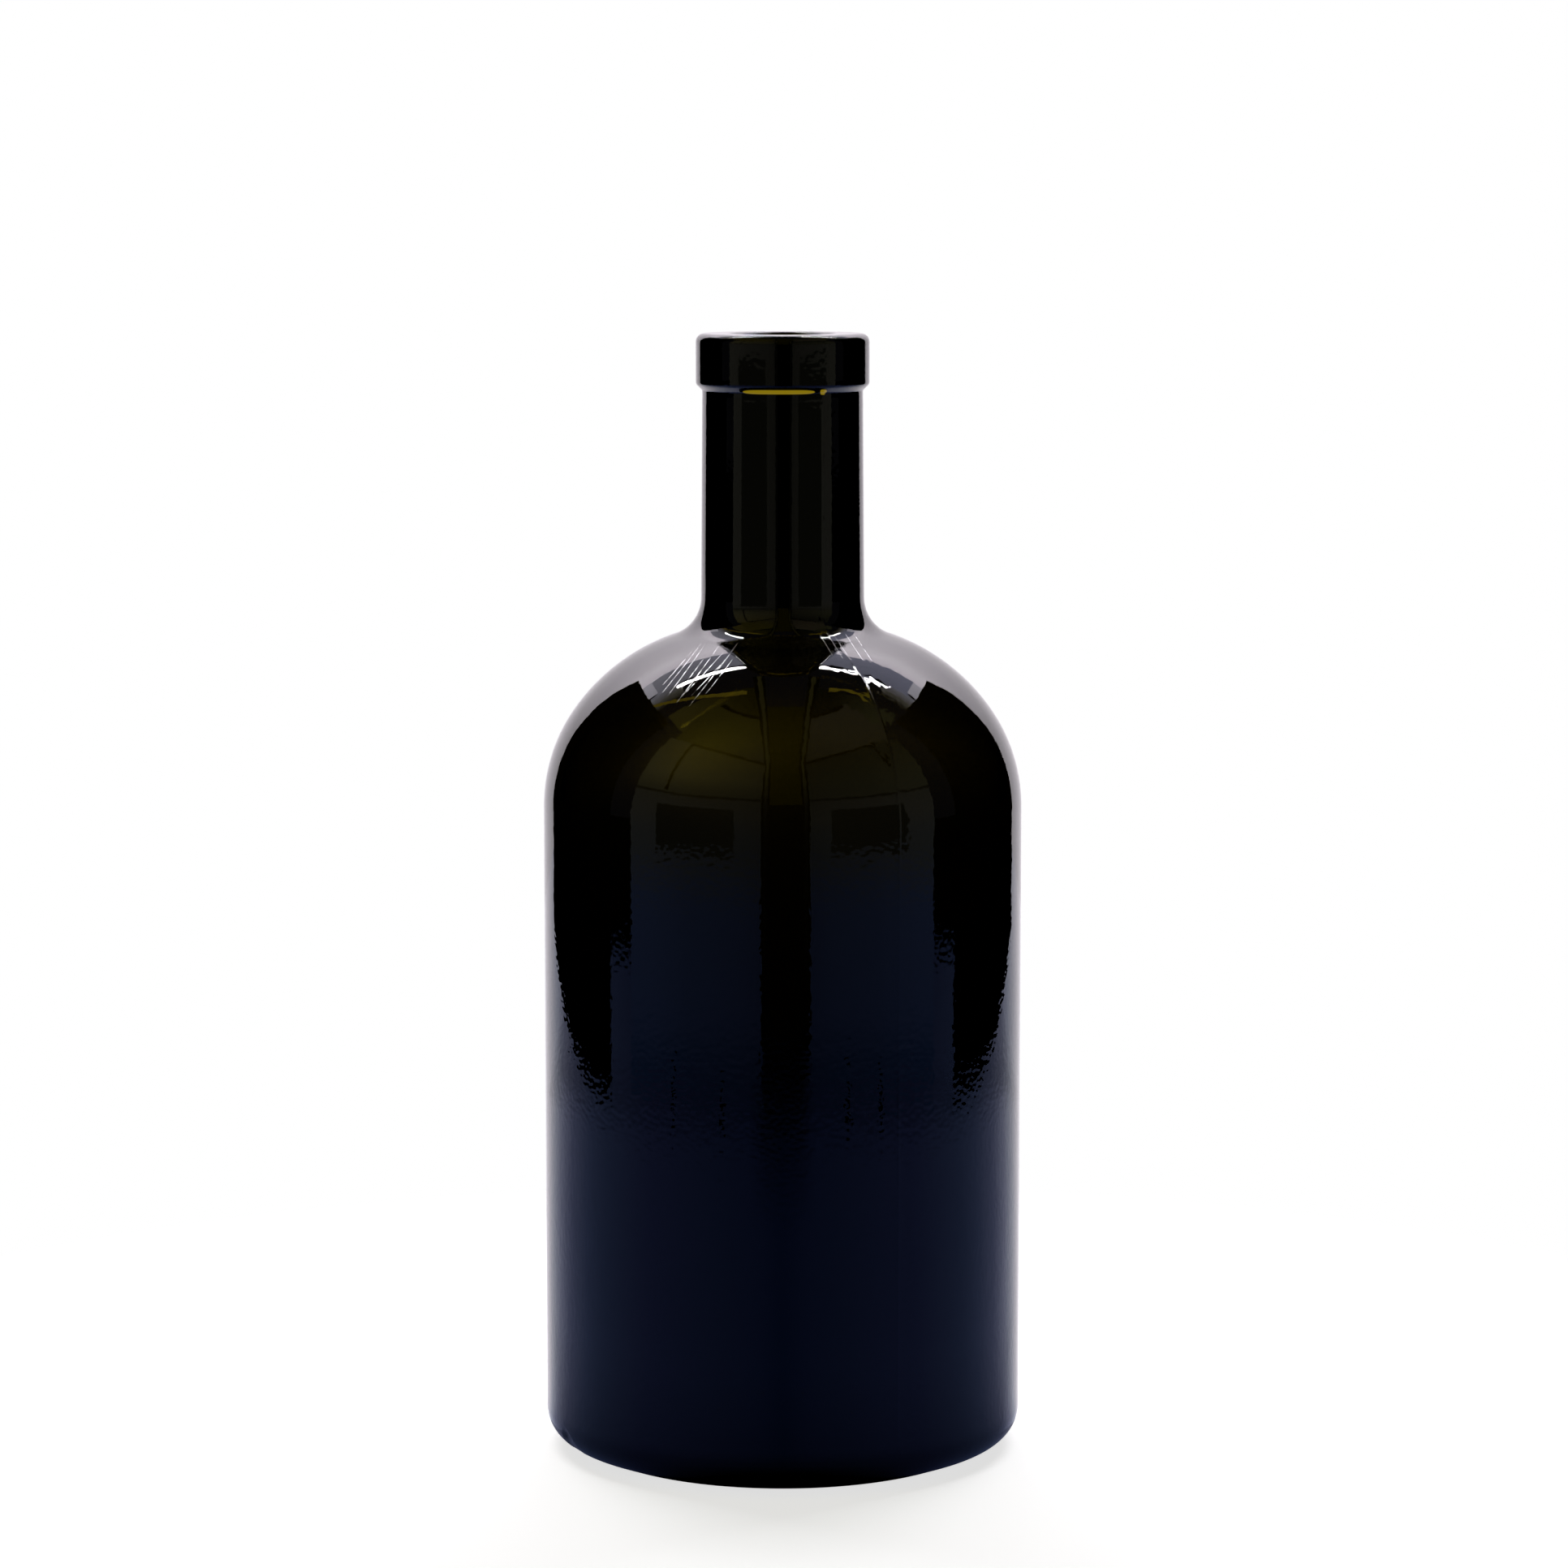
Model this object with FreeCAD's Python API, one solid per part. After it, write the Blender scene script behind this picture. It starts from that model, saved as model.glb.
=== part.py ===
# Glass spirits bottle with a band finish for a bar-top cork: one hollow piece, turned about Z.
# Millimetres and degrees. The origin is the centre of the bearing ring that the bottle stands on.
import FreeCAD, Part

import math
import os

from FreeCAD import Vector

# Overall sizes
OVERALL_HEIGHT = 212.9        # bearing ring to sealing land
BODY_RADIUS = 45.5

# Foot: push-up, flat bearing ring, sloping foot and rounded heel
BEARING_INSET = 8.3           # outer edge of the bearing ring, in from the body
BEARING_WIDTH = 2.8
BEARING_EDGE_RADIUS = 2.0
FOOT_SLOPE = 21.0
HEEL_RADIUS = 6.1
PUSH_UP_RISE = 9.0
PUSH_UP_EDGE_RADIUS = 3.0

# Shoulder: two tangent arcs and a hollow root under the neck
SHOULDER_LOWER_RADIUS = 32.0
SHOULDER_LOWER_TURN = 35.0
SHOULDER_UPPER_RADIUS = 38.1
NECK_ROOT_FILLET = 7.6

# Neck and band finish
BAND_RADIUS = 16.42
BAND_HEIGHT = 10.9
BAND_OVERHANG = 1.22          # the band stands this far out from the top of the neck
BAND_COVE_RADIUS = 0.5
BAND_UNDERSIDE_SLOPE = 45.0
BAND_LOWER_EDGE_RADIUS = 1.0
BAND_UPPER_EDGE_RADIUS = 1.6
NECK_LENGTH = 38.8            # top of the root fillet to the underside of the band
NECK_FLARE = 0.28             # the neck is this much wider at its root

# Inside
HEEL_WALL = 5.8               # the side wall where it leaves the heel
SHOULDER_WALL = 3.4           # the side wall thins to this at the shoulder
FLOOR_THICKNESS = 9.5         # over the top of the push-up
HEEL_THICKNESS = 8.0          # lowest point of the inside above the table
INNER_HEEL_FILLET = 9.0
BORE_RADIUS = 9.25
BORE_LENGTH = 20.0            # straight length that grips the cork
BORE_FLARE = 0.95             # the inside of the neck is this much wider at its root
LIP_RADIUS = 1.0
INNER_ROOT_FILLET = 11.5

# Headings in the half-plane of radius and height
OUTWARDS = 0.0
UPWARDS = 90.0


def arc_step(radius, heading, turn):
    """Return how far out and up an arc carries the outline; a left turn is positive."""
    side = math.copysign(radius, turn)
    start = math.radians(heading)
    end = math.radians(heading + turn)
    return side * (math.sin(end) - math.sin(start)), side * (math.cos(start) - math.cos(end))


class Outline:
    """A chain of lines and tangent arcs, drawn in the half-plane of radius and height."""

    def __init__(self, radius, height, heading):
        self.radius = radius
        self.height = height
        self.heading = heading
        self.edges = []

    def _point(self):
        return Vector(self.radius, 0, self.height)

    def line_to(self, radius, height):
        """Draw a straight line to a point and keep the heading."""
        start = self._point()
        self.radius = radius
        self.height = height
        self.edges.append(Part.LineSegment(start, self._point()).toShape())

    def line(self, length):
        """Draw a straight line of a given length along the heading."""
        angle = math.radians(self.heading)
        self.line_to(self.radius + length * math.cos(angle), self.height + length * math.sin(angle))

    def arc(self, radius, turn):
        """Draw an arc that leaves along the heading and turns it, to the left if positive."""
        start = self._point()
        half_out, half_up = arc_step(radius, self.heading, turn / 2)
        out, up = arc_step(radius, self.heading, turn)
        middle = start + Vector(half_out, 0, half_up)
        self.radius += out
        self.height += up
        self.heading += turn
        self.edges.append(Part.Arc(start, middle, self._point()).toShape())


def dome_over_rim(rim_radius, rise, fillet):
    """Return the radius and half angle of a dome that ends tangent to a fillet round its rim.

    The fillet's lowest point lies on the rim, and the dome's top stands `rise` above it.
    """
    dome_radius = (rim_radius ** 2 + rise ** 2 - 2 * fillet * rise) / (2 * rise)
    half_angle = math.degrees(math.asin(rim_radius / (dome_radius + fillet)))
    return dome_radius, half_angle


class Shoulder:
    """The shoulder's curve, at a depth of glass below the outer surface.

    The upper arc turns just as far as it must for the root fillet to meet both it and the neck.
    """

    def __init__(self, depth, neck_radius, root_fillet):
        self.lower_radius = SHOULDER_LOWER_RADIUS - depth
        self.upper_radius = SHOULDER_UPPER_RADIUS - depth
        self.root_fillet = root_fillet
        lower_turn = math.radians(SHOULDER_LOWER_TURN)
        inwards = BODY_RADIUS - depth - neck_radius
        left_over = self.lower_radius * (1 - math.cos(lower_turn))
        left_over += self.upper_radius * math.cos(lower_turn) + root_fillet - inwards
        self.full_turn = math.degrees(math.acos(left_over / (self.upper_radius + root_fillet)))
        self.upper_turn = self.full_turn - SHOULDER_LOWER_TURN
        lower = arc_step(self.lower_radius, UPWARDS, SHOULDER_LOWER_TURN)
        upper = arc_step(self.upper_radius, UPWARDS + SHOULDER_LOWER_TURN, self.upper_turn)
        root = arc_step(self.root_fillet, UPWARDS + self.full_turn, -self.full_turn)
        self.rise = lower[1] + upper[1] + root[1]

    def draw_up(self, outline):
        """Draw from the body to the neck, along the outside."""
        outline.arc(self.lower_radius, SHOULDER_LOWER_TURN)
        outline.arc(self.upper_radius, self.upper_turn)
        outline.arc(self.root_fillet, -self.full_turn)

    def draw_down(self, outline):
        """Draw from the neck to the body, along the inside."""
        outline.arc(self.root_fillet, self.full_turn)
        outline.arc(self.upper_radius, -self.upper_turn)
        outline.arc(self.lower_radius, -SHOULDER_LOWER_TURN)


def draw_foot(outline):
    """Draw the push-up, the bearing ring, the sloping foot and the heel."""
    bearing_inner = BODY_RADIUS - BEARING_INSET - BEARING_WIDTH
    dome_radius, dome_angle = dome_over_rim(bearing_inner, PUSH_UP_RISE, PUSH_UP_EDGE_RADIUS)
    outline.arc(dome_radius, -dome_angle)
    outline.arc(PUSH_UP_EDGE_RADIUS, dome_angle)
    outline.line(BEARING_WIDTH)
    outline.arc(BEARING_EDGE_RADIUS, FOOT_SLOPE)
    heel_turn = UPWARDS - FOOT_SLOPE
    heel_out = arc_step(HEEL_RADIUS, FOOT_SLOPE, heel_turn)[0]
    outline.line((BODY_RADIUS - heel_out - outline.radius) / math.cos(math.radians(FOOT_SLOPE)))
    outline.arc(HEEL_RADIUS, heel_turn)


def draw_finish(outline):
    """Draw the band that the cork's cap sits on, its sealing land and the lip of the bore."""
    turn = 90.0 - BAND_UNDERSIDE_SLOPE
    outline.arc(BAND_COVE_RADIUS, -turn)
    edge_out = arc_step(BAND_LOWER_EDGE_RADIUS, outline.heading, turn)[0]
    underside_out = BAND_RADIUS - edge_out - outline.radius
    outline.line(underside_out / math.cos(math.radians(BAND_UNDERSIDE_SLOPE)))
    outline.arc(BAND_LOWER_EDGE_RADIUS, turn)
    outline.line_to(BAND_RADIUS, OVERALL_HEIGHT - BAND_UPPER_EDGE_RADIUS)
    outline.arc(BAND_UPPER_EDGE_RADIUS, 90.0)
    outline.line_to(BORE_RADIUS + LIP_RADIUS, OVERALL_HEIGHT)
    outline.arc(LIP_RADIUS, 90.0)


def draw_floor(outline):
    """Draw the fillet inside the heel and the floor's dome, as far as the axis."""
    rim_radius = BODY_RADIUS - HEEL_WALL - INNER_HEEL_FILLET
    rise = PUSH_UP_RISE + FLOOR_THICKNESS - HEEL_THICKNESS
    dome_radius, dome_angle = dome_over_rim(rim_radius, rise, INNER_HEEL_FILLET)
    outline.line_to(BODY_RADIUS - HEEL_WALL, HEEL_THICKNESS + INNER_HEEL_FILLET)
    outline.arc(INNER_HEEL_FILLET, -90.0 - dome_angle)
    outline.arc(dome_radius, dome_angle)


def bottle_section():
    """Return the glass's half section as a face, from the push-up round to the floor."""
    neck_top_radius = BAND_RADIUS - BAND_OVERHANG
    neck_inner_radius = BORE_RADIUS + BORE_FLARE
    outside = Shoulder(0.0, neck_top_radius + NECK_FLARE, NECK_ROOT_FILLET)
    inside = Shoulder(SHOULDER_WALL, neck_inner_radius, INNER_ROOT_FILLET)
    neck_top = OVERALL_HEIGHT - BAND_HEIGHT
    shoulder_start = neck_top - NECK_LENGTH - outside.rise

    outline = Outline(0.0, PUSH_UP_RISE, OUTWARDS)
    draw_foot(outline)
    outline.line_to(BODY_RADIUS, shoulder_start)
    outside.draw_up(outline)
    outline.line_to(neck_top_radius, neck_top)
    draw_finish(outline)
    outline.line(BORE_LENGTH)
    outline.line_to(neck_inner_radius, shoulder_start + inside.rise)
    inside.draw_down(outline)
    draw_floor(outline)
    outline.line_to(0.0, PUSH_UP_RISE)
    return Part.Face(Part.Wire(outline.edges))


def glass_bottle():
    """Return the bottle as one solid."""
    return bottle_section().revolve(Vector(0, 0, 0), Vector(0, 0, 1), 360)


def main():
    """Write one STEP file for each node."""
    os.makedirs("parts", exist_ok=True)
    nodes = {"glass_bottle": glass_bottle()}
    for name, solid in nodes.items():
        solid.exportStep(f"parts/{name}.step")
        print(name, solid.ShapeType, "valid:", solid.isValid(), "cm3:", round(solid.Volume / 1000, 1))


main()
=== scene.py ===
"""A dark green glass spirits bottle, empty and uncorked, in a small white product studio."""

import logging
import math
import random
from collections.abc import Callable
from dataclasses import dataclass, field
from enum import Enum

import bpy
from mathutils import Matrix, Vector, noise

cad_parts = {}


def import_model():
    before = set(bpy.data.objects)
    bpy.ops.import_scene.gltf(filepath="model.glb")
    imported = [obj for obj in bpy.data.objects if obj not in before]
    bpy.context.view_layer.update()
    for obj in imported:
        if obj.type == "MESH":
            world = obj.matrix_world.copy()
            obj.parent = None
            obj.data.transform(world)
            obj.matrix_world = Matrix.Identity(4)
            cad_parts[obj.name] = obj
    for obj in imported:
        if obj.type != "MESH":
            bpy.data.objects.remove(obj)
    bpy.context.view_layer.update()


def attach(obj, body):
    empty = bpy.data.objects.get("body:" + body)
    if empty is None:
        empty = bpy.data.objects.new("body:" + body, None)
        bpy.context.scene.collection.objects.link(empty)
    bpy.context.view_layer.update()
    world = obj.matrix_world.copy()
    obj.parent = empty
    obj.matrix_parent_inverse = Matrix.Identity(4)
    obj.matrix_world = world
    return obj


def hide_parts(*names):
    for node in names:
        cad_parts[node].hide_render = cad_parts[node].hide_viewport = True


RGBA = tuple[float, float, float, float]
Point = tuple[float, float]
Spot = tuple[float, float, float]
Stops = tuple[tuple[float, RGBA], ...]
Edge = Callable[[float], Spot]
Socket = bpy.types.NodeSocket

MM = 0.001
SEAM_BEARING = 28.0  # the mould's seams, in degrees from the front
log = logging.getLogger("bottle_scene")


class Heading(Enum):
    """Directions in the half-plane of radius and height, in degrees."""

    OUTWARDS = 0.0
    UPWARDS = 90.0
    DOWNWARDS = -90.0


class Side(Enum):
    """Which side of the studio a card or lamp stands on."""

    LEFT = -1.0
    RIGHT = 1.0


# ---------------------------------------------------------------- node helpers


class Nodes:
    """A thin wrapper that adds and joins the nodes of one tree."""

    def __init__(self, tree: bpy.types.NodeTree) -> None:
        """Start on an empty tree.

        Args:
            tree: The node tree to fill.
        """
        self.tree = tree
        tree.nodes.clear()

    def add(self, kind: str, **inputs: object) -> bpy.types.Node:
        """Add a node and set or join its inputs.

        Args:
            kind: The node's type name.
            **inputs: Values or output sockets by input name, with underscores for spaces.

        Returns:
            The new node.
        """
        node = self.tree.nodes.new(kind)
        for name, value in inputs.items():
            self.put(node, name.replace("_", " "), value)
        return node

    def put(self, node: bpy.types.Node, name: str | int, value: object) -> None:
        """Set an input to a value, or join it to an output socket.

        Args:
            node: The node.
            name: The input's name or number.
            value: The value or output socket.
        """
        if isinstance(value, bpy.types.NodeSocket):
            self.tree.links.new(value, node.inputs[name])
        else:
            node.inputs[name].default_value = value

    def math(self, operation: str, *values: object) -> Socket:
        """Add a Math node.

        Args:
            operation: The node's operation.
            *values: Numbers or output sockets for its inputs, in order.

        Returns:
            Its output socket.
        """
        node = self.tree.nodes.new("ShaderNodeMath")
        node.operation = operation
        for index, value in enumerate(values):
            self.put(node, index, value)
        return node.outputs[0]

    def span(self, value: object, start: float, end: float) -> Socket:
        """Return a socket that runs from nought where a value is at the start to one at the end."""
        node = self.add("ShaderNodeMapRange", Value=value, From_Min=start, From_Max=end)
        return node.outputs["Result"]

    def blend(self, factor: Socket, first: bpy.types.Node, second: bpy.types.Node) -> bpy.types.Node:
        """Add a Mix Shader node.

        Args:
            factor: Nought for the first shader, one for the second.
            first: The first shader.
            second: The second shader.

        Returns:
            The new node.
        """
        node = self.add("ShaderNodeMixShader", Fac=factor)
        self.put(node, 1, first.outputs[0])
        self.put(node, 2, second.outputs[0])
        return node

    def ramp(self, factor: Socket, stops: Stops) -> Socket:
        """Add a colour ramp.

        Args:
            factor: The socket that drives it.
            stops: Positions from 0 to 1 with their colours, in order.

        Returns:
            Its colour socket.
        """
        node = self.add("ShaderNodeValToRGB", Fac=factor)
        elements = node.color_ramp.elements
        if len(stops) == 1:
            elements.remove(elements[1])
        while len(elements) < len(stops):
            elements.new(0.5)
        for element, (position, colour) in zip(elements, stops):
            element.position = position
            element.color = colour
        return node.outputs["Color"]

    def surface(self, shader: bpy.types.Node) -> bpy.types.Node:
        """Add the material's output, show a shader with it and return the output."""
        return self.add("ShaderNodeOutputMaterial", Surface=shader.outputs[0])


def new_material(name: str) -> tuple[bpy.types.Material, Nodes]:
    """Add a material.

    Args:
        name: The material's name.

    Returns:
        The material and its emptied nodes.
    """
    made = bpy.data.materials.new(name)
    made.use_nodes = True
    return made, Nodes(made.node_tree)


def new_object(name: str, data: bpy.types.ID) -> bpy.types.Object:
    """Add an object to the scene.

    Args:
        name: The object's name.
        data: Its mesh, lamp or lens.

    Returns:
        The object.
    """
    made = bpy.data.objects.new(name, data)
    bpy.context.scene.collection.objects.link(made)
    return made


def grey(value: float) -> RGBA:
    """Return an opaque grey of one linear value."""
    return (value, value, value, 1.0)


def smooth(value: float, start: float, end: float) -> float:
    """Return nought at the start and one at the end, with a smooth rise between."""
    share = min(1.0, max(0.0, (value - start) / (end - start)))
    return share * share * (3 - 2 * share)


# ---------------------------------------------------------------- glass


@dataclass
class Outline:
    """Points along lines and tangent arcs in the half-plane of radius and height, in millimetres."""

    radius: float
    height: float
    heading: float
    points: list[Point] = field(default_factory=list)

    def __post_init__(self) -> None:
        """Put down the first point."""
        self.points.append((self.radius, self.height))

    def line_to(self, radius: float, height: float, step: float = 1.5) -> None:
        """Draw a straight line, with points at most a step apart.

        Args:
            radius: The line's end, out from the axis.
            height: The line's end, up from the table.
            step: The greatest distance between points.
        """
        length = math.hypot(radius - self.radius, height - self.height)
        count = max(1, math.ceil(length / step))
        start = (self.radius, self.height)
        for index in range(1, count + 1):
            share = index / count
            spot = (start[0] + (radius - start[0]) * share, start[1] + (height - start[1]) * share)
            self.points.append(spot)
        self.radius, self.height = radius, height

    def line(self, length: float, step: float = 1.5) -> None:
        """Draw a straight line of a given length along the heading."""
        angle = math.radians(self.heading)
        self.line_to(self.radius + length * math.cos(angle), self.height + length * math.sin(angle), step)

    def arc(self, radius: float, turn: float, step: float = 0.9) -> None:
        """Draw an arc that leaves along the heading.

        Args:
            radius: The arc's radius.
            turn: How far it turns in degrees, to the left if positive.
            step: The greatest distance between points.
        """
        side = math.copysign(radius, turn)
        count = max(2, math.ceil(abs(turn) / 9), math.ceil(radius * math.radians(abs(turn)) / step))
        first = math.radians(self.heading)
        start = (self.radius, self.height)
        for index in range(1, count + 1):
            angle = first + math.radians(turn) * index / count
            self.radius = start[0] + side * (math.sin(angle) - math.sin(first))
            self.height = start[1] + side * (math.cos(first) - math.cos(angle))
            self.points.append((self.radius, self.height))
        self.heading += turn


@dataclass
class Shoulder:
    """The shoulder's two arcs and root fillet, at a depth of glass below the outer surface."""

    body_radius: float
    neck_radius: float
    root_fillet: float
    depth: float = 0.0
    lower_radius: float = 32.0
    upper_radius: float = 38.1
    lower_turn: float = 35.0

    def __post_init__(self) -> None:
        """Work out how far the upper arc turns, and how high the whole shoulder is."""
        self.lower_radius -= self.depth
        self.upper_radius -= self.depth
        turn = math.radians(self.lower_turn)
        inwards = self.body_radius - self.depth - self.neck_radius
        left_over = self.lower_radius * (1 - math.cos(turn)) + self.upper_radius * math.cos(turn)
        left_over += self.root_fillet - inwards
        self.full_turn = math.degrees(math.acos(left_over / (self.upper_radius + self.root_fillet)))
        trial = Outline(self.body_radius - self.depth, 0.0, Heading.UPWARDS.value)
        self.draw_up(trial)
        self.rise = trial.height

    def draw_up(self, outline: Outline) -> None:
        """Draw from the body to the neck.

        Args:
            outline: The outline to carry on.
        """
        outline.arc(self.lower_radius, self.lower_turn)
        outline.arc(self.upper_radius, self.full_turn - self.lower_turn)
        outline.arc(self.root_fillet, -self.full_turn, step=0.6)

    def draw_down(self, outline: Outline) -> None:
        """Draw from the neck to the body, more coarsely, along the inside.

        Args:
            outline: The outline to carry on.
        """
        outline.arc(self.root_fillet, self.full_turn, step=1.2)
        outline.arc(self.upper_radius, self.lower_turn - self.full_turn, step=1.8)
        outline.arc(self.lower_radius, -self.lower_turn, step=1.8)


@dataclass(frozen=True)
class SurfaceMarks:
    """The ripple that a chilled mould leaves on blown glass, stronger on the body and by the seams."""

    name: str = "glass_surface_marks"
    broad_scale: float = 0.3
    broad_share: float = 0.8
    seam_reach: float = 0.22
    shoulder_heights: Point = (0.128, 0.148)
    body_heights: Point = (0.128, 0.060)
    shoulder_gain: float = 5.0
    body_gain: float = 4.0

    def _gain(self, nodes: Nodes, place: Socket, seam: Socket) -> Socket:
        """Add the ripple's strength over the bottle.

        Args:
            nodes: The group's nodes.
            place: The place on the bottle.
            seam: The first seam's bearing.

        Returns:
            A socket that is one on plain glass and more where the mould has wrinkled it.
        """
        split = nodes.add("ShaderNodeSeparateXYZ", Vector=place).outputs
        bearing = nodes.math("ARCTAN2", split["X"], nodes.math("MULTIPLY", split["Y"], -1.0))
        off_seam = nodes.math("ABSOLUTE", nodes.math("SINE", nodes.math("SUBTRACT", bearing, seam)))
        near_seam = nodes.span(off_seam, self.seam_reach, 0.0)
        wrinkled = nodes.math("MULTIPLY", near_seam, nodes.span(split["Z"], *self.shoulder_heights))
        wrinkled = nodes.math("MULTIPLY", wrinkled, self.shoulder_gain)
        pressed = nodes.math("MULTIPLY", nodes.span(split["Z"], *self.body_heights), self.body_gain)
        return nodes.math("ADD", nodes.math("ADD", wrinkled, pressed), 1.0)

    def group(self) -> bpy.types.NodeTree:
        """Build the node group once.

        Returns:
            A group that gives the ripple's height for a scale and a seam's bearing.
        """
        if self.name in bpy.data.node_groups:
            return bpy.data.node_groups[self.name]
        tree = bpy.data.node_groups.new(self.name, "ShaderNodeTree")
        nodes = Nodes(tree)
        for name, way in (("Ripple Scale", "INPUT"), ("Seam Bearing", "INPUT"), ("Height", "OUTPUT")):
            tree.interface.new_socket(name=name, in_out=way, socket_type="NodeSocketFloat")
        given = nodes.add("NodeGroupInput").outputs
        place = nodes.add("ShaderNodeTexCoord").outputs["Object"]
        fine = nodes.add("ShaderNodeTexNoise", Vector=place, Scale=given["Ripple Scale"], Detail=0.0)
        broad_scale = nodes.math("MULTIPLY", given["Ripple Scale"], self.broad_scale)
        broad = nodes.add("ShaderNodeTexNoise", Vector=place, Scale=broad_scale, Detail=0.0)
        broad_height = nodes.math("MULTIPLY", broad.outputs["Fac"], self.broad_share)
        ripple = nodes.math("ADD", broad_height, fine.outputs["Fac"])
        gain = self._gain(nodes, place, given["Seam Bearing"])
        nodes.add("NodeGroupOutput", Height=nodes.math("MULTIPLY", ripple, gain))
        return tree


@dataclass(frozen=True)
class GlassFinish:
    """Dark antique-green glass: a clear, faintly rippled surface over a deep olive body, with a painted glow of
    emission in the cove under the band at the front.
    """

    name: str = "antique_green_glass"
    ior: float = 1.52
    roughness: float = 0.008
    ripple_depth: float = 0.0000040
    ripple_scale: float = 1100.0
    absorption: RGBA = (0.444, 0.410, 0.012, 1.0)
    density: float = 1620.0
    # Painted glow: emission in the cove under the band, on the front only, standing in for light that comes through the
    # glass.
    cove_painted_glow: RGBA = (0.22, 0.155, 0.004, 1.0)
    cove_front: float = -0.0130
    painted_cove_glints: tuple[tuple[float, float, float, float], ...] = (
        (-0.0007, 0.0067, 0.20244, 0.00040),
        (0.0076, 0.0006, 0.20240, 0.00050),
    )
    painted_glint_squareness: float = 6.0
    seam_bearing: float = SEAM_BEARING
    marks: SurfaceMarks = SurfaceMarks()

    def _painted_glint(
        self,
        nodes: Nodes,
        split: bpy.types.Node,
        across: float,
        half_width: float,
        height: float,
        half_height: float,
    ) -> Socket:
        """Add a mask for one lens-shaped painted glint, emission that stands in for light leaving through the cove
        under the band.

        Args:
            nodes: The material's nodes.
            split: The node that gives the place on the bottle.
            across: The glint's middle from left to right.
            half_width: Half its width.
            height: Its middle above the table.
            half_height: Half its height.

        Returns:
            A socket that is one on the painted glint and nought off it.
        """
        out = nodes.math("DIVIDE", nodes.math("SUBTRACT", split.outputs["X"], across), half_width)
        up = nodes.math("DIVIDE", nodes.math("SUBTRACT", split.outputs["Z"], height), half_height)
        out = nodes.math("POWER", nodes.math("ABSOLUTE", out), self.painted_glint_squareness)
        reach = nodes.math("ADD", out, nodes.math("MULTIPLY", up, up))
        return nodes.math("LESS_THAN", reach, 1.0)

    def material(self) -> bpy.types.Material:
        """Build the glass material.

        Returns:
            The material, a clear dielectric surface over an absorbing volume, with a painted glow in the cove at the
            front.
        """
        made, nodes = new_material(self.name)
        marks = nodes.add("ShaderNodeGroup")
        marks.node_tree = self.marks.group()
        nodes.put(marks, "Ripple Scale", self.ripple_scale)
        nodes.put(marks, "Seam Bearing", math.radians(self.seam_bearing))
        relief = nodes.add("ShaderNodeBump", Height=marks.outputs["Height"], Distance=self.ripple_depth, Strength=1.0)
        shader = nodes.add("ShaderNodeBsdfPrincipled", IOR=self.ior, Roughness=self.roughness)
        nodes.put(shader, "Normal", relief.outputs["Normal"])
        place = nodes.add("ShaderNodeTexCoord").outputs["Object"]
        split = nodes.add("ShaderNodeSeparateXYZ", Vector=place)
        # Painted glow: emission on the front of the cove under the band, standing in for light that comes through the
        # glass.
        front = nodes.math("LESS_THAN", split.outputs["Y"], self.cove_front)
        painted_glints = [self._painted_glint(nodes, split, *glint) for glint in self.painted_cove_glints]
        nodes.put(shader, "Emission Color", self.cove_painted_glow)
        nodes.put(shader, "Emission Strength", nodes.math("MULTIPLY", front, nodes.math("MAXIMUM", *painted_glints)))
        shader.inputs["Base Color"].default_value = grey(1.0)
        shader.inputs["Transmission Weight"].default_value = 1.0
        volume = nodes.add("ShaderNodeVolumeAbsorption", Color=self.absorption, Density=self.density)
        nodes.put(nodes.surface(shader), "Volume", volume.outputs[0])
        return made


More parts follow.
